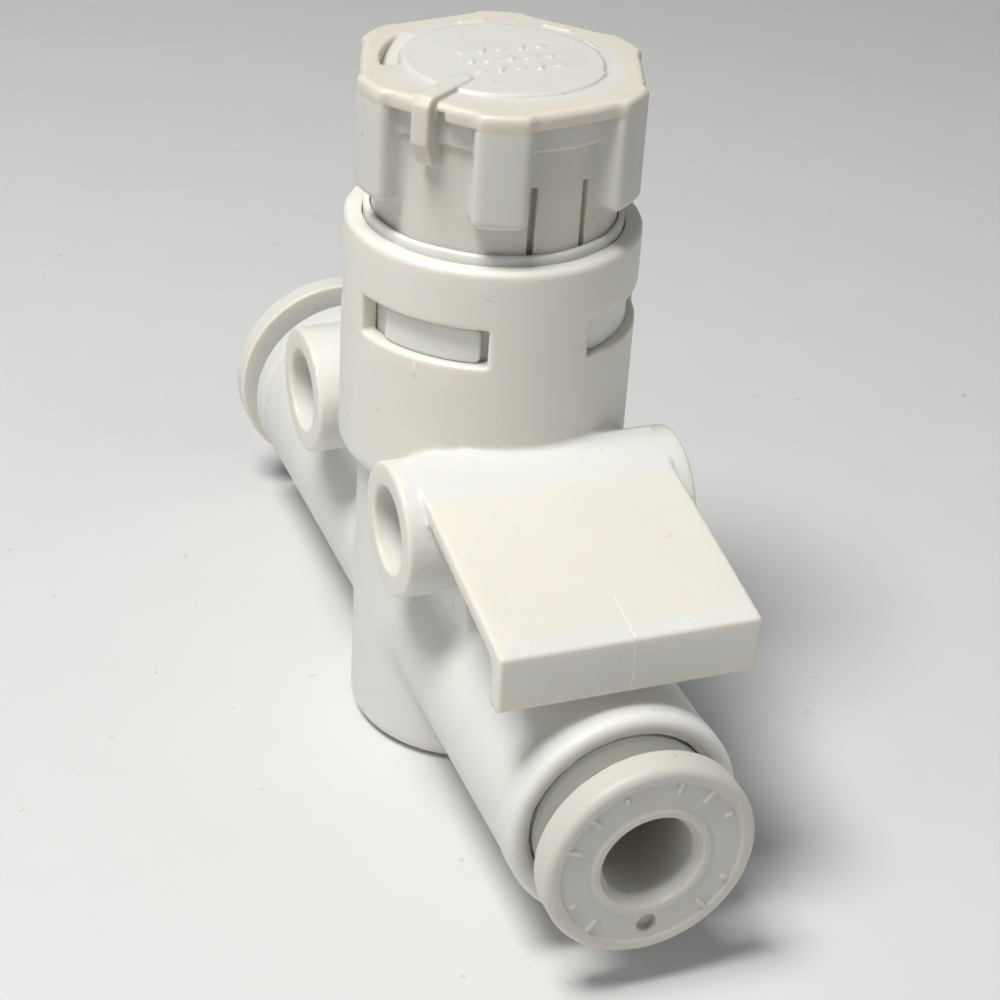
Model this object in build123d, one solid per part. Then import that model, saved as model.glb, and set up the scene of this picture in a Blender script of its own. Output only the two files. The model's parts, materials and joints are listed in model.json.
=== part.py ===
"""In-line flow control valve with push-in tube fittings.

Frame: +Z is the needle axis, z = 0 is the flat base, the two ports lie along Y
(front port towards -Y) and the two mounting bosses lie along X.  Millimetres.
"""
import math
import os

from build123d import *

os.makedirs("parts", exist_ok=True)

# ---------------------------------------------------------------- dimensions
# heights
AXIS_Z = 7.1            # port axis above the base
SHELF_Z = 15.6          # underside of the wide upper housing
RIM_Z = 27.75           # top of the collar rim
# upright housing
LOW_R = 6.0
WIDE_R = 7.0
COLLAR_R = 6.15         # inside of the collar
COLLAR_FLOOR_Z = 17.4
# windows in the collar wall
WIN_Z0 = 23.0
WIN_Z1 = 24.9
WIN_A0 = 20.5           # half angle of the wall left at front and back
WIN_A1 = 77.5           # end of a window, measured from front or back
# port barrels
BARREL_R = 5.4
RING_R = 5.47
FRONT_END = 20.2
REAR_END = 22.0
RING_LEN = 1.75
RECESS_R = 4.3
RECESS_DEPTH = 3.4
CART_R = 4.1            # bore for chuck and seal
CART_DEPTH = 7.9
TUBE_R = 2.1
FLANGE_FRONT_R = 5.0
FLANGE_REAR_R = 5.85
FLANGE_FRONT_GAP = 1.55  # ring face to the back of a flange
FLANGE_REAR_GAP = 1.3
FLANGE_T = 1.5
TUBE_DEPTH = 11.0
# bosses and plate
BOSS_Y = 7.03
BOSS_Z = 15.52
BOSS_R = 3.2
BOSS_HALF = 7.1
HOLE_R = 2.05
WEB_HALF = 4.1
PLATE_HALF = 6.1
PLATE_FRONT = 19.2
PLATE_FRONT_Z = 16.2
PLATE_LIP_Z = 13.42
PLATE_T = 0.7
LIP_T = 1.0
# inner bores of the housing
MAIN_R = 3.0
MAIN_Z0 = 2.0
SHOULDER_Z = 11.6
SHOULDER_R = 4.4
# knob
KNOB_R = 7.0
LOBE_W = 2.3
LOBE_Z0 = 29.72
KNOB_TOP = 35.05
BAND_R = 6.0
PLATE_EDGE_R = 6.3
BAND_Z0 = 33.05
SKIRT_R = 5.75
SKIRT_IN = 4.85
SKIRT_Z0 = 20.9
LOBE_A0 = -109.5
DISC_R = 4.55
DISC_H = 0.16
# guide ring
GUIDE_IN = 5.83
GUIDE_OUT = 6.1
GUIDE_TOP = 28.2
# needle and drive
THREAD_P = 0.35          # needle thread pitch
HEX_AF = 6.0


def cyl_z(r, z0, z1):
    return Pos(0, 0, (z0 + z1) / 2) * Cylinder(r, z1 - z0)


def cyl_y(r, y0, y1, z=AXIS_Z, x=0.0):
    return Pos(x, (y0 + y1) / 2, z) * Rot(90, 0, 0) * Cylinder(r, abs(y1 - y0))


def cyl_x(r, x0, x1, y, z):
    return Pos((x0 + x1) / 2, y, z) * Rot(0, 90, 0) * Cylinder(r, abs(x1 - x0))


def box(x0, x1, y0, y1, z0, z1):
    return Pos((x0 + x1) / 2, (y0 + y1) / 2, (z0 + z1) / 2) * Box(x1 - x0, y1 - y0, z1 - z0)


def turned(points):
    """Solid of revolution about Z from a closed (r, z) outline."""
    face = make_face(Plane.XZ * Polyline(*points, close=True))
    return revolve(face, Axis.Z, 360)


def turned_y(points, side):
    """Solid of revolution about the port axis.

    points are (radius, distance from the needle axis); side is -1 front, +1 rear.
    """
    face = make_face(Plane.XZ * Polyline(*points, close=True))
    solid = revolve(face, Axis.Z, 360)
    return Pos(0, 0, AXIS_Z) * Rot(-90 * side, 0, 0) * solid


def sector(r0, r1, a0, a1, z0, z1):
    """Ring sector between two angles (degrees) and two heights."""
    n = max(2, int(abs(a1 - a0) / 15) + 1)
    outer = []
    inner = []
    for i in range(n + 1):
        a = math.radians(a0 + (a1 - a0) * i / n)
        outer.append((1.3 * r1 * math.cos(a), 1.3 * r1 * math.sin(a)))
    wedge = make_face(Polyline((0, 0), *outer, close=True))
    solid = Pos(0, 0, z0) * extrude(wedge, z1 - z0)
    ring = cyl_z(r1, z0, z1)
    if r0 > 0:
        ring = ring - cyl_z(r0, z0 - 1, z1 + 1)
    return ring & solid


def export(shape, name):
    export_step(shape, "parts/" + name + ".step")
    print(name, round(shape.volume, 2), len(shape.solids()))


# ---------------------------------------------------------------- valve body
def barrel(side, end):
    """One port barrel with its end ring, as a solid of revolution."""
    r = BARREL_R
    e = end
    pts = [(0, 0), (r, 0), (r, e - RING_LEN - 0.35), (r - 0.12, e - RING_LEN - 0.12)]
    pts += [(r - 0.1, e - RING_LEN + 0.05), (RING_R, e - RING_LEN + 0.3)]
    rc = 0.75
    for i in range(0, 6):
        a = math.radians(90 * i / 5)
        pts.append((RING_R - rc + rc * math.cos(a), e - rc + rc * math.sin(a)))
    pts += [(0, e)]
    return turned_y(pts, side)


def boss(side):
    """Cross boss and the web that ties it to the barrel and housing."""
    y = side * BOSS_Y
    shape = cyl_x(BOSS_R, -BOSS_HALF, BOSS_HALF, y, BOSS_Z)
    shape += box(-WEB_HALF, WEB_HALF, min(0, y), max(0, y), AXIS_Z, BOSS_Z + 1.2)
    pts = [(side * 6.0, AXIS_Z), (side * 6.0, BOSS_Z), (y + side * 1.6, BOSS_Z + 2.6)]
    if side > 0:
        pts += [(y + 2.5, BOSS_Z + 1.9), (REAR_END - RING_LEN - 0.2, AXIS_Z + 5.0)]
        pts += [(REAR_END - RING_LEN - 0.2, AXIS_Z)]
    else:
        pts = [(-6.0, AXIS_Z), (-6.0, BOSS_Z), (y - 2.2, BOSS_Z), (y - 2.9, AXIS_Z + 4.6)]
        pts += [(y - 2.9, AXIS_Z)]
    face = make_face(Plane.YZ * Polyline(*pts, close=True))
    shape += extrude(face, WEB_HALF, both=True)
    return shape


def plate():
    """Sloped plate from the crest of the front boss to a turned-down lip."""
    slope = math.atan2(BOSS_Z + BOSS_R - PLATE_FRONT_Z, PLATE_FRONT - BOSS_Y)
    for _ in range(4):
        ty = -BOSS_Y - BOSS_R * math.sin(slope)
        tz = BOSS_Z + BOSS_R * math.cos(slope)
        slope = math.atan2(tz - PLATE_FRONT_Z, PLATE_FRONT + ty)
    c = math.cos(slope)
    s = math.sin(slope)
    under_z = PLATE_FRONT_Z - PLATE_T / c + LIP_T * s / c
    r_in = 0.5
    pts = [(ty, tz), (-PLATE_FRONT, PLATE_FRONT_Z), (-PLATE_FRONT, PLATE_LIP_Z)]
    pts += [(-PLATE_FRONT + LIP_T, PLATE_LIP_Z), (-PLATE_FRONT + LIP_T, under_z - r_in)]
    pts += [(-PLATE_FRONT + LIP_T + 0.15, under_z - 0.15), (-PLATE_FRONT + LIP_T + r_in, under_z + r_in * s)]
    pts += [(ty + PLATE_T * s - 0.2, tz - PLATE_T * c - 0.04), (-BOSS_Y - 1.2, BOSS_Z + 1.5), (-BOSS_Y, BOSS_Z + 1.5)]
    face = make_face(Plane.YZ * Polyline(*pts, close=True))
    solid = extrude(face, PLATE_HALF, both=True)
    edges = [e for e in solid.edges().filter_by(Axis.X)
             if abs(e.center().Y + PLATE_FRONT) < 0.01]
    solid = fillet(edges, 0.12)
    return solid


def housing():
    low = cyl_z(LOW_R, 0, SHELF_Z + 0.5)
    low = fillet(low.edges().group_by(Axis.Z)[0], 0.95)
    wide = cyl_z(WIDE_R, SHELF_Z, RIM_Z)
    wide = fillet(wide.edges().group_by(Axis.Z)[0], 0.8)
    wide = fillet(wide.edges().group_by(Axis.Z)[-1], 0.3)
    return low + wide


def port_cuts(side, end):
    cut = cyl_y(RECESS_R, side * (end - RECESS_DEPTH), side * (end + 1))
    cut += cyl_y(CART_R, side * (end - CART_DEPTH), side * (end + 1))
    cut += cyl_y(TUBE_R, side * (end - TUBE_DEPTH), side * (end + 1))
    cone = [(RECESS_R, end - 0.15), (RECESS_R + 0.15, end), (RECESS_R + 0.15, end + 1), (0, end + 1), (0, end - 0.15)]
    cut += turned_y(cone, side)
    return cut


def valve_body():
    body = housing()
    body += barrel(-1, FRONT_END)
    body += barrel(1, REAR_END)
    body += boss(-1)
    body += boss(1)
    body += plate()
    # collar bore, shoulders and main bore
    body -= cyl_z(COLLAR_R, COLLAR_FLOOR_Z, RIM_Z + 1)
    body -= cyl_z(SHOULDER_R, SHOULDER_Z, COLLAR_FLOOR_Z + 1)
    body -= cyl_z(MAIN_R, MAIN_Z0, SHOULDER_Z + 1)
    # ports and the two offset flow passages
    body -= port_cuts(-1, FRONT_END)
    body -= port_cuts(1, REAR_END)
    body -= cyl_y(1.25, -(FRONT_END - TUBE_DEPTH + 0.8), 0, z=5.2)
    body -= cyl_y(1.25, 0, REAR_END - TUBE_DEPTH + 0.8, z=9.4)
    # mounting holes
    for side in (-1, 1):
        body -= cyl_x(HOLE_R, -BOSS_HALF - 1, BOSS_HALF + 1, side * BOSS_Y, BOSS_Z)
    # four windows for the snap tabs
    for centre in (-90, 90):
        for sgn in (-1, 1):
            a = centre + sgn * WIN_A0
            b = centre + sgn * WIN_A1
            body -= sector(COLLAR_R - 0.5, WIDE_R + 0.6, min(a, b), max(a, b), WIN_Z0, WIN_Z1)
    return body


# ---------------------------------------------------------------- top pieces
def knob_guide():
    """Stationary ring: thin wall round the skirt, floor, and four snap tabs."""
    pts = [(3.5, 17.4), (GUIDE_OUT, 17.4), (GUIDE_OUT, GUIDE_TOP - 0.08), (6.02, GUIDE_TOP)]
    pts += [(GUIDE_IN, GUIDE_TOP)]
    pts += [(GUIDE_IN, 18.9), (5.2, 18.9), (5.2, 18.5), (3.5, 18.5)]
    shape = turned(pts)
    # snap tabs reaching out into the windows, rounded at their far ends
    for centre in (-90, 90):
        for sgn in (-1, 1):
            a = centre + sgn * (WIN_A0 + 3.0)
            b = centre + sgn * (WIN_A1 - 10.0)
            tab = sector(6.0, 6.55, min(a, b), max(a, b), WIN_Z0 + 0.12, WIN_Z1 - 0.22)
            shape += tab
    # locking teeth on the floor wall
    for i in range(24):
        a = 15 * i
        tooth = Rot(0, 0, a) * box(5.18, 5.5, -0.25, 0.25, 18.8, 19.3)
        shape += tooth
    return shape


def drive_sleeve():
    hexagon = extrude(RegularPolygon(HEX_AF / 2, 6, major_radius=False), 6.9)
    shape = Pos(0, 0, 19.1) * hexagon
    shape += cyl_z(4.4, 18.6, 19.2)
    shape -= box(-1.36, 1.36, -1.36, 1.36, 18.0, 27.0)
    # slots that let the sleeve be moulded with even walls
    for a in (45, 135, 225, 315):
        shape -= Rot(0, 0, a) * box(3.5, 4.6, -0.4, 0.4, 18.5, 19.3)
    return shape


def knob():
    # skirt, band and top plate as one turned form
    pts = [(SKIRT_IN, SKIRT_Z0), (SKIRT_R - 0.15, SKIRT_Z0), (SKIRT_R, SKIRT_Z0 + 0.15)]
    pts += [(SKIRT_R, BAND_Z0), (BAND_R, BAND_Z0), (BAND_R, 34.3), (PLATE_EDGE_R, 34.3)]
    re = 0.45
    for i in range(0, 6):
        a = math.radians(90 * i / 5)
        pts.append((PLATE_EDGE_R - re + re * math.cos(a), KNOB_TOP - re + re * math.sin(a)))
    pts += [(0, KNOB_TOP), (0, 33.6), (SKIRT_IN, 33.6)]
    shape = turned(pts)
    # raised disc
    disc = cyl_z(DISC_R, KNOB_TOP - 0.1, KNOB_TOP + DISC_H)
    disc = fillet(disc.edges().group_by(Axis.Z)[-1], 0.1)
    shape += disc
    # lobes
    for i in range(6):
        lobe = box(4.95, KNOB_R, -LOBE_W / 2, LOBE_W / 2, LOBE_Z0, KNOB_TOP)
        outer = [e for e in lobe.edges() if e.center().X > KNOB_R - 0.01]
        lobe = fillet(outer, 0.38)
        lobe = lobe & cyl_z(KNOB_R, LOBE_Z0 - 1, KNOB_TOP + 1)
        shape += Rot(0, 0, LOBE_A0 + 60 * i) * lobe
    # pointer bar on the top, turned down the side
    bar = box(3.15, 6.75, -0.42, 0.42, KNOB_TOP - 0.1, KNOB_TOP + 0.3)
    bar += Pos(3.15, 0, KNOB_TOP + 0.1) * Cylinder(0.42, 0.4)
    rib_pts = [(5.6, KNOB_TOP + 0.3), (6.75, KNOB_TOP + 0.3), (6.75, 33.4), (6.0, 32.2), (5.6, 32.2)]
    rib = make_face(Plane.XZ * Polyline(*rib_pts, close=True))
    rib = Pos(0, 0.42, 0) * extrude(rib, 0.84)
    shape += Rot(0, 0, -141.5) * (bar + rib)
    # blind slot with a ramp beside the disc
    slot = sector(4.75, 5.55, 126, 172, KNOB_TOP - 0.7, KNOB_TOP + 0.5)
    shape -= slot
    # hollow under the raised disc, hub for the drive sleeve
    hub = cyl_z(4.2, 20.9, 33.7)
    socket = extrude(RegularPolygon(HEX_AF / 2 + 0.06, 6, major_radius=False), 10.0)
    shape += hub - Pos(0, 0, 20.0) * socket
    # two slits that free a snap tab in the skirt
    for a in (-94.2, -67.2):
        shape -= Rot(0, 0, a) * box(4.5, 6.1, -0.16, 0.16, 20.0, 31.3)
    return shape


def needle():
    """Metering needle: tapered tip, sealed shank, thread and square drive head."""
    pts = [(0, 5.9), (0.25, 5.9), (0.76, 7.1), (0.76, 9.0), (1.2, 9.4), (1.2, 13.9), (1.9, 14.4)]
    pts += [(1.9, 16.4), (0, 16.4)]
    shape = turned(pts)
    # thread crests, one closed ring for each pitch
    for i in range(5):
        z = 14.5 + THREAD_P * i
        shape += turned([(1.85, z), (2.1, z + 0.12), (2.1, z + 0.18), (1.85, z + 0.3)])
    shape += box(-1.3, 1.3, -1.3, 1.3, 16.3, 22.4)
    return shape


def needle_guide():
    """Brass bush; its inner thread is a row of ring grooves of the same pitch."""
    shape = turned([(2.16, 13.3), (3.3, 13.3), (3.3, 18.4), (2.16, 18.4)])
    for i in range(12):
        z = 13.75 + THREAD_P * i
        shape -= turned([(2.1, z), (2.34, z + 0.14), (2.34, z + 0.2), (2.1, z + 0.34)])
    return shape


def insert_sleeve():
    """Inner body: flange, stem with flow windows, seat at its foot."""
    pts = [(1.75, 5.6), (2.3, 5.6), (2.3, 11.6), (4.4, 11.6), (4.4, 12.2), (3.75, 12.2), (3.75, 13.4)]
    pts += [(4.4, 13.4), (4.4, 17.4), (3.3, 17.4), (3.3, 13.3), (1.95, 13.3), (1.95, 11.9), (1.6, 11.9)]
    pts += [(1.6, 6.9), (1.75, 6.9)]
    shape = turned(pts)
    for a in (0, 90, 180, 270):
        shape -= Rot(0, 0, a) * cyl_x(0.8, 1.0, 3.0, 0, 9.6)
    return shape


def ring(r0, r1, z0, z1, c=0.12):
    pts = [(r0, z0 + c), (r0 + c, z0), (r1 - c, z0), (r1, z0 + c)]
    pts += [(r1, z1 - c), (r1 - c, z1), (r0 + c, z1), (r0, z1 - c)]
    return turned(pts)


def u_seal():
    pts = [(2.3, 6.6), (2.6, 6.6), (2.6, 7.6), (2.75, 7.6), (2.95, 6.7), (3.0, 6.8), (3.0, 8.0), (2.85, 8.2), (2.3, 8.2)]
    return turned(pts)


def seat_ring():
    return turned([(0.8, 5.6), (1.75, 5.6), (1.75, 6.9), (1.2, 6.9), (0.8, 6.5)])


# ---------------------------------------------------------------- port pieces
def release_button(side, end, flange_r, gap):
    """Flanged sleeve that is pressed in to free the tube."""
    back = end + gap
    face = back + FLANGE_T
    pts = [(0, end - 3.55), (2.75, end - 3.55), (3.0, end - 3.2), (3.0, back), (flange_r - 0.2, back), (flange_r, back + 0.2)]
    rc = 0.45
    for i in range(0, 6):
        a = math.radians(80 * i / 5)
        pts.append((flange_r - rc + rc * math.cos(a), face - rc + rc * math.sin(a)))
    pts += [(flange_r - 0.75, face - 0.1), (TUBE_R + 0.75, face - 0.1)]
    pts += [(TUBE_R + 0.4, face - 0.04), (TUBE_R + 0.22, face - 0.06), (0, face - 0.06)]
    shape = turned_y(pts, side)
    dimple = Plane(origin=(0.55, side * face, AXIS_Z - 3.45), z_dir=(0, side, 0)) * Cylinder(0.42, 0.9)
    shape = shape - dimple
    shape -= cyl_y(TUBE_R, side * (end - 5), side * (face + 3))
    mouth = [(0, face - 0.75), (TUBE_R, face - 0.75), (TUBE_R + 0.3, face - 0.05), (TUBE_R + 0.3, face + 1.5)]
    mouth += [(0, face + 1.5)]
    return shape - turned_y(mouth, side)


def guide_ring(side, end):
    pts = [(3.08, end - 3.4), (RECESS_R, end - 3.4), (RECESS_R, end - 0.35), (4.15, end - 0.2)]
    pts += [(3.25, end - 0.2), (3.08, end - 0.4)]
    return turned_y(pts, side)


def chuck(side, end):
    """Steel claw ring, slit into eight springy claws."""
    pts = [(3.55, end - 3.6), (CART_R, end - 3.6), (CART_R, end - 4.9), (3.7, end - 4.9), (1.98, end - 5.55)]
    pts += [(1.98, end - 5.25), (3.55, end - 4.65)]
    shape = turned_y(pts, side)
    for i in range(8):
        slit = box(1.5, 3.3, -0.14, 0.14, end - 6.2, end - 4.0)
        shape -= Pos(0, 0, AXIS_Z) * Rot(-90 * side, 0, 0) * Rot(0, 0, 22.5 + 45 * i) * slit
    return shape


def tube_seal(side, end):
    pts = [(1.95, end - 6.25), (2.5, end - 5.75), (CART_R, end - 5.75), (CART_R, end - 7.2), (2.3, end - 7.2), (1.95, end - 6.75)]
    return turned_y(pts, side)


def backing_ring(side, end):
    pts = [(2.15, end - 7.2), (CART_R, end - 7.2), (CART_R, end - 7.9), (2.15, end - 7.9)]
    return turned_y(pts, side)


export(valve_body(), "valve_body")
export(knob_guide(), "knob_guide")
export(drive_sleeve(), "drive_sleeve")
export(knob(), "knob")
export(needle(), "needle")
export(needle_guide(), "needle_guide")
export(ring(1.22, 1.95, 11.95, 12.75), "needle_oring")
export(insert_sleeve(), "insert_sleeve")
export(ring(3.75, 4.4, 12.3, 13.3), "sleeve_oring")
export(u_seal(), "u_seal")
export(seat_ring(), "seat_ring")
for label, side, end, flange_r, gap in (
    ("front", -1, FRONT_END, FLANGE_FRONT_R, FLANGE_FRONT_GAP),
    ("rear", 1, REAR_END, FLANGE_REAR_R, FLANGE_REAR_GAP),
):
    export(release_button(side, end, flange_r, gap), label + "_release_button")
    export(guide_ring(side, end), label + "_guide_ring")
    export(chuck(side, end), label + "_chuck")
    export(tube_seal(side, end), label + "_tube_seal")
    export(backing_ring(side, end), label + "_backing_ring")
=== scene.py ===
"""Looks for the in-line flow control valve: moulded shapes, materials, light and camera."""
import json
import math

import bpy
import numpy as np
from mathutils import Matrix, Vector


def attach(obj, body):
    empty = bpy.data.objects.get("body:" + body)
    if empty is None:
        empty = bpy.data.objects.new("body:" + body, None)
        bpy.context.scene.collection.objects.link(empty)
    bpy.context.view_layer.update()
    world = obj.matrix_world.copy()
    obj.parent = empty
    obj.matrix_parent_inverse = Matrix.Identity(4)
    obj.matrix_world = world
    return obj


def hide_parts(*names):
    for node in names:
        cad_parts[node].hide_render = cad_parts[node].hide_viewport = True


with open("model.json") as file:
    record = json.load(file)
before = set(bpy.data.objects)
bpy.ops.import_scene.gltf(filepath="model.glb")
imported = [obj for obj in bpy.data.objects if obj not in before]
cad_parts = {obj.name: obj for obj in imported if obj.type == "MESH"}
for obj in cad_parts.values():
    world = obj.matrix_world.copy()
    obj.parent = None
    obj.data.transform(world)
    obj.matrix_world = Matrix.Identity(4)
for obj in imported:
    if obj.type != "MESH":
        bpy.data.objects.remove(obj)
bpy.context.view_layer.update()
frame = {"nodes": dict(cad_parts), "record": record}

# ------------------------------------------------------------------ dimensions, millimetres
AXIS_Z = 7.1
SHELF_Z = 15.6
RIM_Z = 27.75
LOW_R = 6.0
WIDE_R = 7.0
COLLAR_R = 6.15
COLLAR_FLOOR_Z = 17.4
WIN_Z = (23.0, 24.9)
WIN_A = (20.5, 77.5)
BARREL_R = 5.4
RING_R = 5.47
FRONT_END = 20.2
REAR_END = 22.0
TUBE_R = 2.1            # bore for the tube
CART_R = 4.1            # room for the claws and seals
RECESS_R = 4.3          # recess for the guide ring
RECESS_DEPTH = 3.4
CART_DEPTH = 7.9
TUBE_DEPTH = 11.0
BOSS_Y = 7.03
BOSS_Z = 15.52
BOSS_R = 3.2
BOSS_HALF = 7.1
HOLE_R = 2.05
WEB_HALF = 4.1
PLATE_HALF = 6.1
KNOB_R = 7.0
KNOB_TOP = 35.05
LOBE_Z0 = 29.72
LOBE_A0 = -109.5
POINTER_A = -141.5
BAR_HALF = 0.46
SLIT_ANGLES = (-94.2, -67.2)
GUIDE_TOP = 28.2
FLANGE_T = 1.5
TICK_ANGLES = (28, 52, 76, 112, 136, 160, 204, 228, 312, 336)
BUTTONS = (     # port, side, ring face, flange radius, gap behind the flange, material slot
    ("front", -1, FRONT_END, 5.0, 1.55, "button_plastic"),
    ("rear", 1, REAR_END, 5.85, 1.3, "white_plastic"),
)
LIP_FRONT_Y = -19.2
LIP_TOP_Z = 16.18
FLASH_X = 0.1
FLASH_HALF = 0.03
FLASH_HEIGHT = 0.012
FLASH_DEPTH = 0.06


# ------------------------------------------------------------------ distance field tools
def both(a, b, r):
    """Where two solids meet, with the edge between them rounded to radius r."""
    return np.minimum(-r, np.maximum(a, b)) + np.hypot(np.maximum(r + a, 0), np.maximum(r + b, 0))


def join(a, b, r):
    """Two solids together, with a fillet of radius r between them."""
    return np.maximum(r, np.minimum(a, b)) - np.hypot(np.maximum(r - a, 0), np.maximum(r - b, 0))


def cut(a, b, r):
    return both(a, -b, r)


def slab(v, lo, hi):
    return np.abs(v - (lo + hi) / 2) - (hi - lo) / 2


def brick(u, v, w, hu, hv, hw, r):
    """Rounded block centred on the origin with the given half sizes."""
    a, b, c = np.abs(u) - hu + r, np.abs(v) - hv + r, np.abs(w) - hw + r
    out = np.sqrt(np.maximum(a, 0) ** 2 + np.maximum(b, 0) ** 2 + np.maximum(c, 0) ** 2)
    return out + np.minimum(np.maximum(np.maximum(a, b), c), 0) - r


def outline(u, v, pts):
    """Signed distance to a closed outline, negative inside."""
    d = np.full(u.shape, 1e9)
    s = np.ones(u.shape)
    for i in range(len(pts)):
        (ax, ay), (bx, by) = pts[i], pts[i - 1]
        ex, ey = bx - ax, by - ay
        wx, wy = u - ax, v - ay
        t = np.clip((wx * ex + wy * ey) / (ex * ex + ey * ey), 0, 1)
        d = np.minimum(d, (wx - ex * t) ** 2 + (wy - ey * t) ** 2)
        c1, c2, c3 = v >= ay, v < by, ex * wy > ey * wx
        s[(c1 & c2 & c3) | (~c1 & ~c2 & ~c3)] *= -1
    return s * np.sqrt(d)


def turn(x, y, deg):
    """Coordinates along and across the direction at an angle in plan."""
    c, s = math.cos(math.radians(deg)), math.sin(math.radians(deg))
    return x * c + y * s, y * c - x * s


def wedge(x, y, a0, a1):
    """Negative between two angles less than half a turn apart."""
    _, d0 = turn(x, y, a0)
    _, d1 = turn(x, y, a1)
    return np.maximum(-d0, d1)


def ripple(*terms):
    """Smooth irregular value near -1..1 from a few sines of odd frequencies."""
    return sum(terms) / len(terms)


# ------------------------------------------------------------------ surface from a field
CORNERS = np.array([(i, j, k) for i in (0, 1) for j in (0, 1) for k in (0, 1)])
# THIN is also how deep the surface is probed for two painted-light masks: painted glow on thin edges,
# painted shade in creases
THIN = 0.55     # depth in millimetres over which an edge lets light through
EDGES = [(a, b) for a in range(8) for b in range(a + 1, 8)
         if np.abs(CORNERS[a] - CORNERS[b]).sum() == 1]


def surface(name, field, lo, hi, h, levels=3):
    """Mesh of the zero surface of field: cells split only near it, points then moved onto it."""
    lo = np.array(lo, float) + 0.0137
    size = h * 2 ** levels
    n = np.ceil((np.array(hi) - lo) / size).astype(int)
    cells = np.stack(np.meshgrid(*[np.arange(v) for v in n], indexing="ij"), -1).reshape(-1, 3)
    for level in range(levels + 1):
        d = field(lo + (cells + 0.5) * size)
        cells = cells[np.abs(d) < size * 0.87 * 1.25 + 0.03]
        if level < levels:
            cells = (2 * cells[:, None, :] + CORNERS[None]).reshape(-1, 3)
            size /= 2
    span = cells.max(0) + 3
    step = np.array([span[1] * span[2], span[2], 1])
    keys, back = np.unique((cells[:, None, :] + CORNERS[None]) @ step, return_inverse=True)
    at = np.stack([keys // step[0], keys // step[1] % span[1], keys % span[2]], -1)
    v8 = field(lo + at * h)[back].reshape(-1, 8)
    inside = v8 < 0
    live = inside.any(1) & ~inside.all(1)
    cells, v8, inside = cells[live], v8[live], inside[live]
    total, count = np.zeros((len(cells), 3)), np.zeros(len(cells))
    for a, b in EDGES:
        s = inside[:, a] != inside[:, b]
        t = v8[s, a] / (v8[s, a] - v8[s, b])
        total[s] += CORNERS[a] + t[:, None] * (CORNERS[b] - CORNERS[a])
        count[s] += 1
    p = lo + (cells + total / count[:, None]) * h
    far_side, near_side = CORNERS == 1, CORNERS == 0
    g = np.stack([v8[:, far_side[:, a]].mean(1) - v8[:, near_side[:, a]].mean(1) for a in range(3)], -1)
    g /= np.maximum(np.linalg.norm(g, axis=1, keepdims=True), 1e-9)
    for _ in range(2):
        p -= np.clip(field(p), -h, h)[:, None] * g
        p = np.clip(p, lo + cells * h, lo + (cells + 1) * h)
    # painted light masks, stored as the edge and crease attributes: thin edges get a painted glow,
    # concave creases get painted shade
    thin = np.clip(1 + field(p - g * THIN) / THIN, 0, 1)
    hollow = np.clip(1 - field(p + g * THIN) / THIN, 0, 1)
    order = np.argsort(cells @ step)
    sorted_keys = (cells @ step)[order]

    def find(c):
        k = c @ step
        i = np.minimum(np.searchsorted(sorted_keys, k), len(order) - 1)
        return np.where(sorted_keys[i] == k, order[i], -1)

    quads = []
    unit = np.eye(3, dtype=int)
    for a in range(3):
        b, c = unit[(a + 1) % 3], unit[(a + 2) % 3]
        far = int(np.where((CORNERS == unit[a]).all(1))[0][0])
        for sign in (True, False):
            s = (inside[:, 0] == sign) & (inside[:, far] != sign)
            base = cells[s]
            q = np.stack([find(base - b - c), find(base - c), find(base), find(base - b)], -1)
            q = q[(q >= 0).all(1)]
            quads.append(q if sign else q[:, ::-1])
    return made_mesh(name, p * 0.001, np.concatenate(quads), {"edge": thin, "crease": hollow})


def made_mesh(name, points, quads, values):
    mesh = bpy.data.meshes.new(name)
    mesh.vertices.add(len(points))
    mesh.vertices.foreach_set("co", points.astype(np.float32).ravel())
    mesh.loops.add(quads.size)
    mesh.loops.foreach_set("vertex_index", quads.astype(np.int32).ravel())
    mesh.polygons.add(len(quads))
    mesh.polygons.foreach_set("loop_start", np.arange(0, quads.size, 4, dtype=np.int32))
    mesh.update(calc_edges=True)
    for key, value in values.items():
        mesh.attributes.new(key, "FLOAT", "POINT").data.foreach_set("value", value.astype(np.float32))
    mesh.validate()
    mesh.polygons.foreach_set("use_smooth", np.ones(len(mesh.polygons), bool))
    obj = bpy.data.objects.new(name, mesh)
    bpy.context.scene.collection.objects.link(obj)
    return obj


def thin_out(obj, faces):
    """Collapses the flat areas so that the piece has about this many triangles."""
    now = 2 * len(obj.data.polygons)
    if now > faces:
        mod = obj.modifiers.new("thin_out", "DECIMATE")
        mod.ratio = faces / now
    return obj


# ------------------------------------------------------------------ valve body
def port(x, y, z, side, end):
    """Barrel with its end ring: a shallow crease behind the ring, a rounded outer edge."""
    t = side * y
    w = np.hypot(x, z - AXIS_Z)
    around = np.arctan2(z - AXIS_Z, x)
    core = np.maximum(w - (BARREL_R - 0.05), t - end + 1.0)
    pipe = both(w - BARREL_R, t - (end - 1.8), 0.12)
    ring = both(both(w - RING_R, t - end, 0.5), (end - 1.76) - t, 0.14)
    d = np.minimum(join(pipe, core, 0.06), ring)
    lip = 0.035 * ripple(np.sin(7 * around + 1), np.sin(16 * around), np.sin(29 * around + 2))
    mouth = 0.34 * np.clip((t - end + 0.5) / 0.5, 0, 1)
    d = cut(d, both(w - RECESS_R - 0.06 - mouth - lip, (end - RECESS_DEPTH) - t, 0.02), 0.06)
    d = cut(d, np.maximum(w - CART_R, (end - CART_DEPTH) - t), 0.05)
    return cut(d, np.maximum(w - TUBE_R, (end - TUBE_DEPTH) - t), 0.05)


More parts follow.
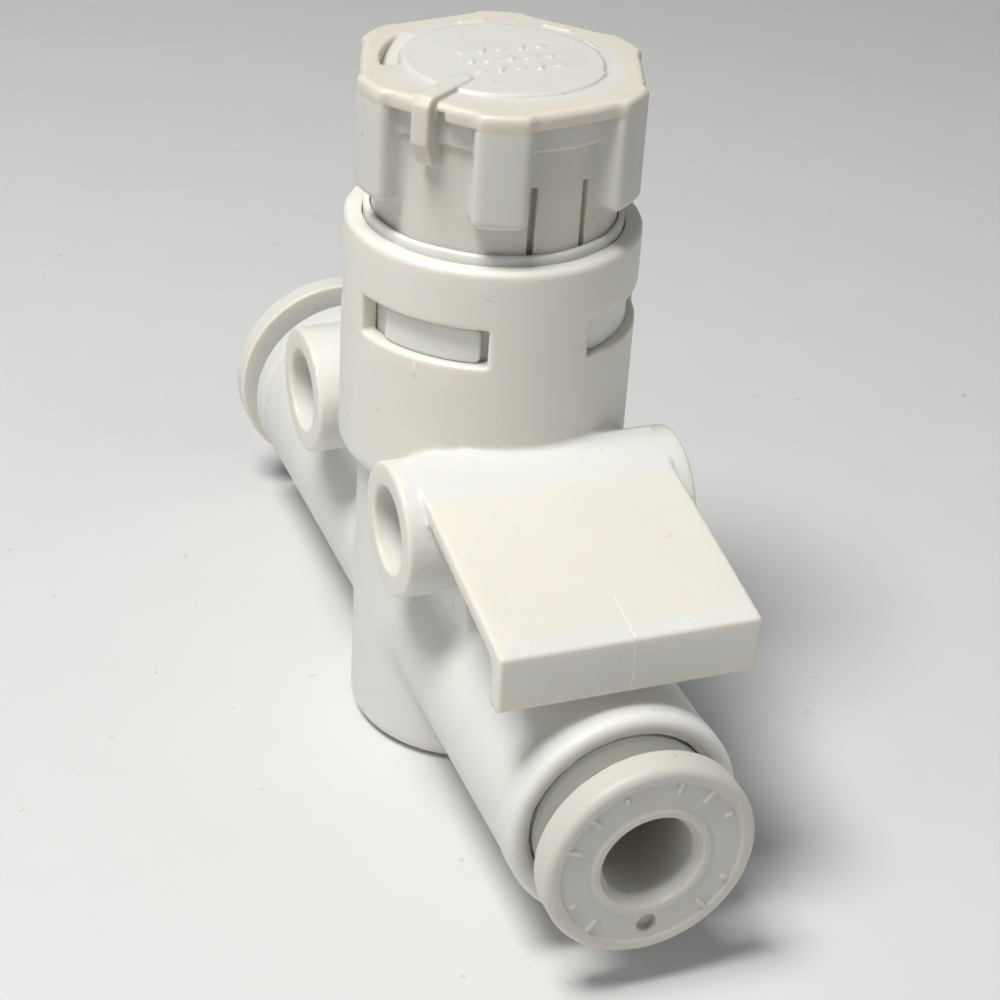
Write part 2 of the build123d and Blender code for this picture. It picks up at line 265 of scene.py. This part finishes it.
def body_field(p):
    x, y, z = p.T
    q = np.hypot(x, y)
    around = np.arctan2(y, x)
    low = np.maximum(both(q - LOW_R, -z, 0.95), z - SHELF_Z - 1)
    wide = both(both(q - WIDE_R, SHELF_Z - z, 0.8), z - RIM_Z, 0.3)
    d = join(low, wide, 0.3)
    front = port(x, y, z, -1, FRONT_END)
    rear = port(x, y, z, 1, REAR_END)
    d = join(d, np.maximum(front, y + 1), 0.45)
    d = join(d, np.maximum(rear, 1 - y), 0.45)
    # bosses with their webs
    for s in (-1, 1):
        boss = both(np.hypot(y - s * BOSS_Y, z - BOSS_Z) - BOSS_R, np.abs(x) - BOSS_HALF, 0.18)
        if s < 0:
            pts = [(-5, 6.5), (-5, 15.5), (-9.2, 15.5), (-9.93, 11.7), (-9.93, 6.5)]
        else:
            pts = [(5, 6.5), (5, 15.5), (8.63, 18.12), (9.53, 17.42), (20.05, 12.1), (20.05, 6.5)]
        web = both(outline(y, z, pts), np.abs(x) - WEB_HALF, 0.3)
        d = join(d, web, 0.4)
        d = join(d, boss, 0.3)
    # sloped plate with its turned-down lip
    pts = [(-6.38, 18.65), (-19.08, 16.08), (-19.08, 13.54), (-18.32, 13.54), (-18.32, 15.2)]
    pts += [(-17.9, 15.72), (-6.9, 17.95)]
    plate = both(outline(y, z, pts) - 0.12, np.abs(x) - PLATE_HALF, 0.1)
    d = join(d, plate, 0.22)
    # collar bore, shoulders and main bore
    flash = 0.03 * ripple(np.sin(3 * around), np.sin(8 * around + 1), np.sin(15 * around + 2))
    d = cut(d, both(q - COLLAR_R - flash * (z > RIM_Z - 0.4), COLLAR_FLOOR_Z - z, 0.05), 0.1)
    d = cut(d, np.maximum(q - 4.4, 11.6 - z), 0.05)
    d = cut(d, np.maximum(q - 3.0, 2.0 - z), 0.05)
    # only the front port is cleared of its web: the rear web still fills the upper part of its port
    d = cut(d, np.maximum(port_hollow(x, y, z), y), 0.05)
    for side, level in ((-1, 5.2), (1, 9.4)):
        end = FRONT_END if side < 0 else REAR_END
        passage = np.maximum(np.hypot(x, z - level) - 1.25, np.maximum(-side * y, side * y - end + 10.2))
        d = cut(d, passage, 0.03)
        d = cut(d, np.hypot(y - side * BOSS_Y, z - BOSS_Z) - HOLE_R, 0.12)
    # windows for the snap tabs
    for centre in (-90, 90):
        for s in (-1, 1):
            a, b = sorted((centre + s * WIN_A[0], centre + s * WIN_A[1]))
            window = both(wedge(x, y, a, b), slab(z, *WIN_Z), 0.15)
            d = cut(d, np.maximum(window, 5.6 - q), 0.12)
    return d


def port_hollow(x, y, z):
    """Space inside both ports: recess, room for the claws and seals, tube bore."""
    w = np.hypot(x, z - AXIS_Z)
    d = np.full(x.shape, 1e9)
    for side, end in ((-1, FRONT_END), (1, REAR_END)):
        t = side * y
        for r, depth in ((RECESS_R, RECESS_DEPTH), (CART_R, CART_DEPTH), (TUBE_R, TUBE_DEPTH)):
            d = np.minimum(d, np.maximum(np.maximum(w - r, end - depth - t), t - end - 1))
    return d


# ------------------------------------------------------------------ knob
def knob_field(p):
    x, y, z = p.T
    q = np.hypot(x, y)
    skirt = both(q - 5.75, slab(z, 20.9, KNOB_TOP - 0.04), 0.1)
    band = both(q - 6.0, slab(z, 33.05, 34.6), 0.06)
    d = join(skirt, band, 0.05)
    lobes = np.full(x.shape, 1e9)
    for i in range(6):
        u, v = turn(x, y, LOBE_A0 + 60 * i)
        side = np.abs(v) - 1.26
        lobes = np.minimum(lobes, both(both(u - KNOB_R, side, 0.5), 4.6 - u, 0.01))
        u, _ = turn(x, y, LOBE_A0 + 30 + 60 * i)
        flats = u - 6.42 if i == 0 else both(flats, u - 6.42, 0.3)
    lobes = both(lobes, q - KNOB_R, 0.1)
    flats = both(flats, q - 6.75, 0.3)
    plan = join(flats, lobes, 0.3)
    top = both(both(plan, 34.3 - z, 0.1), z - KNOB_TOP, 0.36)
    d = join(d, both(lobes, slab(z, LOBE_Z0, KNOB_TOP - 0.5), 0.42), 0.3)
    d = np.minimum(d, top)
    # raised disc that ends in a notch, and the ramped slot beside it
    facing = np.degrees(np.arctan2(y, x))
    reach = 4.62 + 0.16 * np.clip((facing + 80) / 48, 0, 1) * (facing < -32)
    disc = both(q - reach, z - KNOB_TOP - 0.15, 0.07)
    d = join(d, np.maximum(disc, 34 - z), 0.03)
    slot = both(np.abs(q - 5.15) - 0.42, wedge(x, y, 126, 174), 0.3)
    ramp = KNOB_TOP - 1.0 + 1.0 * np.clip((164 - facing) / 38, 0, 1)
    d = cut(d, np.maximum(slot, ramp - z), 0.1)
    # pointer bar, turned down the side
    u, v = turn(x, y, POINTER_A)
    pts = [(3.1, 34.6), (3.1, 35.28), (6.55, 35.28), (6.87, 34.95), (6.87, 33.2)]
    pts += [(6.3, 32.15), (5.3, 32.15), (5.3, 34.6)]
    bar = both(outline(u, z, pts) - 0.06, np.abs(v) - BAR_HALF, 0.08)
    bar = both(bar, np.hypot(np.minimum(u - 3.5, 0), v) - BAR_HALF, 0.08)
    d = join(d, bar, 0.05)
    side_face = outline(u, z, [(5.9, 34.7), (6.9, 34.7), (6.9, 31.9), (5.9, 31.9)])
    groove = both(side_face, np.abs(v - 0.72) - 0.2, 0.05)
    d = cut(d, np.maximum(groove, 5.88 - q), 0.05)
    # hollow inside, with the hub for the drive sleeve
    hexagon = np.maximum.reduce([np.abs(turn(x, y, a)[0]) for a in (30, 90, 150)]) - 3.06
    room = np.maximum(np.maximum(q - 4.85, 4.2 - q), z - 33.6)
    d = cut(d, room, 0.05)
    d = cut(d, np.maximum(hexagon, z - 30.0), 0.03)
    for a in SLIT_ANGLES:
        u, v = turn(x, y, a)
        d = cut(d, both(np.abs(v) - 0.16, np.maximum(z - 31.3, 5.3 - u), 0.02), 0.06)
    # generic raised marks: short bars in rows, and dashes near the rim
    marks = np.full(x.shape, 1e9)
    for cx, cy, deg, length in MARKS:
        u, v = turn(x - cx, y - cy, deg)
        rise = 0.13 if math.hypot(cx, cy) < 4.4 else 0.0
        marks = np.minimum(marks, brick(u, v, z - KNOB_TOP - rise, length / 2, 0.12, 0.1, 0.05))
    return join(d, marks, 0.04)


MARKS = [(0.4, 5.2, 0, 1.4), (4.05, 3.55, -48, 1.5), (4.75, 1.1, 100, 0.9)]
for row in range(3):
    for col in range(5):
        tilt = 62 if (row + col) % 2 else 28
        MARKS.append((-1.6 + 0.95 * col, -1.5 + 1.25 * row, tilt, 0.75 if col % 2 else 0.5))


# ------------------------------------------------------------------ release buttons
def button_field(side, end, flange, gap):
    """Sleeve with a flange, a lead-in, a dimple and generic ticks on its face."""
    back = end + gap
    face = back + FLANGE_T

    def field(p):
        x, y, z = p.T
        t = side * y
        u, v = -side * x, z - AXIS_Z
        w = np.hypot(u, v)
        stem = both(w - 3.0, slab(t, end - 3.55, face - 0.3), 0.15)
        rim = both(both(w - flange, t - face, 0.42), back - t, 0.14)
        d = join(stem, rim, 0.2)
        d = cut(d, np.maximum(slab(w, 2.85, flange - 0.75), face - 0.1 - t), 0.1)
        d = cut(d, w - TUBE_R, 0.03)
        d = cut(d, w - TUBE_R - 0.32 * np.clip((t - face + 0.6) / 0.5, 0, 1), 0.1)
        for i, deg in enumerate(TICK_ANGLES):
            along, off = turn(u, v, deg)
            half = 0.34 if i % 3 else 0.2
            mark = brick(along - (flange + 2.85) / 2, off, t - face + 0.08, half, 0.11, 0.09, 0.05)
            d = join(d, mark, 0.04)
        dimple = np.hypot(u - 0.1, v + 3.5)
        return cut(d, np.maximum(dimple - 0.46, face - 0.5 - t), 0.16)

    return field


# ------------------------------------------------------------------ knob guide
def guide_field(p):
    x, y, z = p.T
    q = np.hypot(x, y)
    around = np.arctan2(y, x)
    worn = 0.05 * ripple(np.sin(2 * around + 1), np.sin(5 * around), np.sin(11 * around + 2))
    d = both(q - 6.1, slab(z, 17.4, GUIDE_TOP - 0.05 + worn), 0.06)
    d = cut(d, np.maximum(q - 5.8, 18.9 - z), 0.06)
    d = cut(d, np.maximum(q - 5.2, 18.5 - z), 0.03)
    d = cut(d, np.maximum(q - 3.5, 17.0 - z), 0.03)
    for centre in (-90, 90):
        for s in (-1, 1):
            a, b = sorted((centre + s * (WIN_A[0] + 3.0), centre + s * (WIN_A[1] - 10.0)))
            tab = both(wedge(x, y, a, b), slab(z, WIN_Z[0] + 0.02, WIN_Z[1] - 0.22), 0.3)
            tab = both(tab, q - 6.55, 0.1)
            d = np.minimum(d, np.maximum(tab, 5.95 - q))
    for i in range(24):
        u, v = turn(x, y, 15 * i)
        d = np.minimum(d, brick(u - 5.34, v, z - 19.05, 0.16, 0.25, 0.25, 0.03))
    return d


# ------------------------------------------------------------------ materials
def plastic(name, base, warm, rough=0.42, sss=0.35, grain=1.0, edge=0.6):
    """Moulded resin: faint mottling, soft translucency, fine satin texture and a few specks; painted
    light on top: thin edges painted lighter and warmer as a glow, creases painted darker as shade, both
    scaled by edge.
    """
    mat = bpy.data.materials.new(name)
    mat.use_nodes = True
    nt = mat.node_tree
    nt.nodes.clear()
    out = nt.nodes.new("ShaderNodeOutputMaterial")
    bsdf = nt.nodes.new("ShaderNodeBsdfPrincipled")
    nt.links.new(bsdf.outputs["BSDF"], out.inputs["Surface"])
    tex = nt.nodes.new("ShaderNodeTexCoord")

    def noise(scale, detail, rough_=0.6):
        n = nt.nodes.new("ShaderNodeTexNoise")
        n.inputs["Scale"].default_value = scale
        n.inputs["Detail"].default_value = detail
        n.inputs["Roughness"].default_value = rough_
        nt.links.new(tex.outputs["Object"], n.inputs["Vector"])
        return n.outputs["Fac"]

    def spread(value, lo, hi, to_lo, to_hi):
        m = nt.nodes.new("ShaderNodeMapRange")
        for key, v in (("From Min", lo), ("From Max", hi), ("To Min", to_lo), ("To Max", to_hi)):
            m.inputs[key].default_value = v
        nt.links.new(value, m.inputs["Value"])
        return m.outputs["Result"]

    mottle = noise(160, 4)
    mix = nt.nodes.new("ShaderNodeMix")
    mix.data_type = "RGBA"
    nt.links.new(spread(mottle, 0.35, 0.68, 0, 1), mix.inputs[0])
    mix.inputs[6].default_value = (*base, 1)
    mix.inputs[7].default_value = (*warm, 1)
    specks = noise(1150, 2, 0.5)
    dark = nt.nodes.new("ShaderNodeMix")
    dark.data_type = "RGBA"
    nt.links.new(spread(specks, 0.735, 0.76, 0, 0.35), dark.inputs[0])
    nt.links.new(mix.outputs[2], dark.inputs[6])
    dark.inputs[7].default_value = (base[0] * 0.45, base[1] * 0.42, base[2] * 0.38, 1)
    # painted glow: thin edges painted lighter and warmer, standing in for light shining through the
    # resin
    rim = nt.nodes.new("ShaderNodeAttribute")
    rim.attribute_name = "edge"
    painted_glow = nt.nodes.new("ShaderNodeMix")
    painted_glow.data_type = "RGBA"
    nt.links.new(spread(rim.outputs["Fac"], 0.12, 0.62, 0, edge), painted_glow.inputs[0])
    nt.links.new(dark.outputs[2], painted_glow.inputs[6])
    painted_glow.inputs[7].default_value = (base[0] * 1.06, base[1] * 0.99, base[2] * 0.86, 1)
    # painted shade: concave creases painted darker and warmer, standing in for the shade that gathers
    # there
    fold = nt.nodes.new("ShaderNodeAttribute")
    fold.attribute_name = "crease"
    painted_shade = nt.nodes.new("ShaderNodeMix")
    painted_shade.data_type = "RGBA"
    nt.links.new(spread(fold.outputs["Fac"], 0.15, 0.8, 0, 0.35 * edge), painted_shade.inputs[0])
    nt.links.new(painted_glow.outputs[2], painted_shade.inputs[6])
    painted_shade.inputs[7].default_value = (base[0] * 0.8, base[1] * 0.72, base[2] * 0.6, 1)
    nt.links.new(painted_shade.outputs[2], bsdf.inputs["Base Color"])
    nt.links.new(spread(noise(420, 5), 0.3, 0.7, rough - 0.07, rough + 0.09), bsdf.inputs["Roughness"])
    bump_fine = nt.nodes.new("ShaderNodeBump")
    bump_fine.inputs["Strength"].default_value = 0.22 * grain
    bump_fine.inputs["Distance"].default_value = 0.00003
    nt.links.new(noise(3800, 3), bump_fine.inputs["Height"])
    bump_wave = nt.nodes.new("ShaderNodeBump")
    bump_wave.inputs["Strength"].default_value = 0.35 * grain
    bump_wave.inputs["Distance"].default_value = 0.00008
    nt.links.new(noise(330, 3), bump_wave.inputs["Height"])
    nt.links.new(bump_fine.outputs["Normal"], bump_wave.inputs["Normal"])
    nt.links.new(bump_wave.outputs["Normal"], bsdf.inputs["Normal"])
    bsdf.inputs["Subsurface Weight"].default_value = sss
    bsdf.inputs["Subsurface Radius"].default_value = (1.0, 0.62, 0.38)
    bsdf.inputs["Subsurface Scale"].default_value = 0.0011
    bsdf.inputs["Specular IOR Level"].default_value = 0.42
    return mat


def metal(name, base, warm, rough):
    mat = plastic(name, base, warm, rough, 0.0, 0.6)
    bsdf = next(n for n in mat.node_tree.nodes if n.type == "BSDF_PRINCIPLED")
    bsdf.inputs["Metallic"].default_value = 1.0
    bsdf.inputs["Subsurface Weight"].default_value = 0.0
    return mat


MATERIALS = {
    "white_plastic": plastic("white_resin", (0.725, 0.725, 0.695), (0.755, 0.755, 0.725)),
    # guide ring: white like the body, but painted lighter than the body to stand in for light where the
    # knob's shadow falls on it
    "white_plastic_dark": plastic("guide_resin_painted_light", (0.77, 0.765, 0.735), (0.79, 0.785, 0.76), edge=0.2),
    "drive_plastic": plastic("drive_resin", (0.56, 0.55, 0.51), (0.60, 0.585, 0.55)),
    "knob_plastic": plastic("knob_resin", (0.625, 0.615, 0.575), (0.655, 0.645, 0.605), 0.38, edge=0.6),
    "button_plastic": plastic("button_resin", (0.61, 0.60, 0.56), (0.64, 0.63, 0.59), 0.40, edge=0.6),
    "inner_plastic": plastic("inner_resin", (0.72, 0.72, 0.69), (0.74, 0.74, 0.71), 0.5),
    "needle_brass": metal("needle_metal", (0.78, 0.60, 0.30), (0.72, 0.54, 0.26), 0.28),
    "guide_brass": metal("bush_metal", (0.76, 0.61, 0.34), (0.70, 0.55, 0.30), 0.33),
    "chuck_steel": metal("claw_steel", (0.62, 0.62, 0.61), (0.55, 0.55, 0.54), 0.3),
    "seal_rubber": plastic("seal_rubber", (0.035, 0.035, 0.036), (0.05, 0.05, 0.05), 0.55, 0.0, 1.4),
}


def paint(obj, slot_name):
    obj.data.materials.clear()
    obj.data.materials.append(MATERIALS[slot_name])
    return obj


SLOT_OF = {part["node"]: part["material_slot"] for part in frame["record"]["subparts"]}

# ------------------------------------------------------------------ pieces
VOXEL = 0.14
body = surface("valve_body_moulded", body_field, (-8.5, -21.5, -1), (8.5, 23.3, 29), VOXEL)
paint(thin_out(body, 190000), "white_plastic")
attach(body, "housing")
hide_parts("valve_body")

knob = surface("knob_moulded", knob_field, (-8, -8, 20), (8, 8, 36.2), VOXEL * 0.8)
paint(thin_out(knob, 190000), "knob_plastic")
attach(knob, "knob")
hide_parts("knob")

for port_name, side, end, flange, gap, slot_name in BUTTONS:
    y0, y1 = sorted((side * (end - 4.5), side * (end + 3.6)))
    button = surface(port_name + "_button_moulded", button_field(side, end, flange, gap),
                     (-6.5, y0, AXIS_Z - 6.5), (6.5, y1, AXIS_Z + 6.5), VOXEL * 0.6)
    paint(thin_out(button, 90000), slot_name)
    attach(button, port_name + "_button")
    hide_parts(port_name + "_release_button")

guide = surface("knob_guide_moulded", guide_field, (-7, -7, 17), (7, 7, 28.8), VOXEL * 0.8)
paint(thin_out(guide, 110000), "white_plastic_dark")
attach(guide, "housing")
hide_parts("knob_guide")

# thin flash line where the mould halves meet, over the lip and the front of the plate
line_path = [(LIP_FRONT_Y, 13.6), (LIP_FRONT_Y, LIP_TOP_Z), (-16.6, 16.71)]
line_points = []
for y, z in line_path:
    out_y = FLASH_HEIGHT if z < 16.5 else 0
    out_z = FLASH_HEIGHT if z > 16 else 0
    for side in (-1, 1):
        line_points.append((FLASH_X + side * FLASH_HALF, y - out_y, z + out_z))
line_points += [(x, y + FLASH_DEPTH, z - FLASH_DEPTH) for x, y, z in line_points]
line_faces = [(0, 1, 3, 2), (2, 3, 5, 4), (1, 7, 9, 3), (3, 9, 11, 5), (6, 0, 2, 8), (8, 2, 4, 10)]
line_faces += [(6, 7, 1, 0), (4, 5, 11, 10), (6, 8, 9, 7), (8, 10, 11, 9)]
line = made_mesh("plate_parting_line", np.array(line_points) * 0.001, np.array(line_faces), {})
line.data.polygons.foreach_set("use_smooth", np.zeros(len(line_faces), bool))
paint(line, "white_plastic")
line.data.materials[0] = plastic("flash_resin", (0.84, 0.84, 0.82), (0.86, 0.86, 0.84), 0.5, 0.0, 0.0)
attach(line, "housing")

REPLACED = {"valve_body", "knob", "knob_guide", "front_release_button", "rear_release_button"}
for node, obj in frame["nodes"].items():
    if node in REPLACED:
        continue
    for i in range(max(1, len(obj.material_slots))):
        material = MATERIALS[SLOT_OF[node]]
        if i < len(obj.material_slots):
            obj.material_slots[i].material = material
        else:
            obj.data.materials.append(material)

# ------------------------------------------------------------------ floor, light, camera
bpy.ops.mesh.primitive_plane_add(size=3, location=(0, 0, 0))
floor = bpy.context.object
floor.name = "floor"
floor_mat = plastic("floor_paint", (0.72, 0.72, 0.715), (0.73, 0.73, 0.725), 0.6, 0.0, 0.0)
floor.data.materials.append(floor_mat)

world = bpy.data.worlds.new("studio")
bpy.context.scene.world = world
world.use_nodes = True
backdrop = next(n for n in world.node_tree.nodes if n.type == "BACKGROUND")
backdrop.inputs["Color"].default_value = (0.93, 0.95, 1.0, 1)
backdrop.inputs["Strength"].default_value = 0.17
bpy.context.scene.view_settings.view_transform = "Standard"


def lamp(name, place, target, size, power, colour):
    data = bpy.data.lights.new(name, "AREA")
    data.shape = "DISK"
    data.size = size
    data.energy = power
    data.color = colour
    obj = bpy.data.objects.new(name, data)
    obj.location = Vector(place)
    obj.rotation_mode = "QUATERNION"
    obj.rotation_quaternion = (Vector(target) - Vector(place)).to_track_quat("-Z", "Y")
    bpy.context.scene.collection.objects.link(obj)
    return obj


lamp("key", (-0.085, -0.03, 0.24), (0, -0.005, 0.018), 0.09, 0.60, (1.0, 0.99, 0.97))
lamp("side", (-0.22, -0.10, 0.09), (0, 0, 0.018), 0.12, 0.055, (1.0, 0.99, 0.97))
lamp("front", (0.19, -0.15, 0.12), (0, 0, 0.018), 0.16, 0.065, (0.96, 0.98, 1.0))

CAMERA_AT = (-0.03668, -0.09226, 0.0711)
AZIMUTH, ELEVATION, ROLL = (math.radians(v) for v in (-22.37, 30.74, 3.83))
level = math.cos(ELEVATION)
back = Vector((math.sin(AZIMUTH) * level, -math.cos(AZIMUTH) * level, math.sin(ELEVATION)))
right = Vector((math.cos(AZIMUTH), math.sin(AZIMUTH), 0))
up = right.cross(-back)
turned_right = right * math.cos(ROLL) + up * math.sin(ROLL)
turned_up = up * math.cos(ROLL) - right * math.sin(ROLL)
cam_data = bpy.data.cameras.new("camera")
cam_data.sensor_width = 36
cam_data.lens = 82.87
cam_data.clip_start = 0.005
cam_data.clip_end = 10
camera = bpy.data.objects.new("camera", cam_data)
bpy.context.scene.collection.objects.link(camera)
pose = Matrix((turned_right, turned_up, back)).transposed().to_4x4()
pose.translation = Vector(CAMERA_AT)
camera.matrix_world = pose
bpy.context.scene.camera = camera
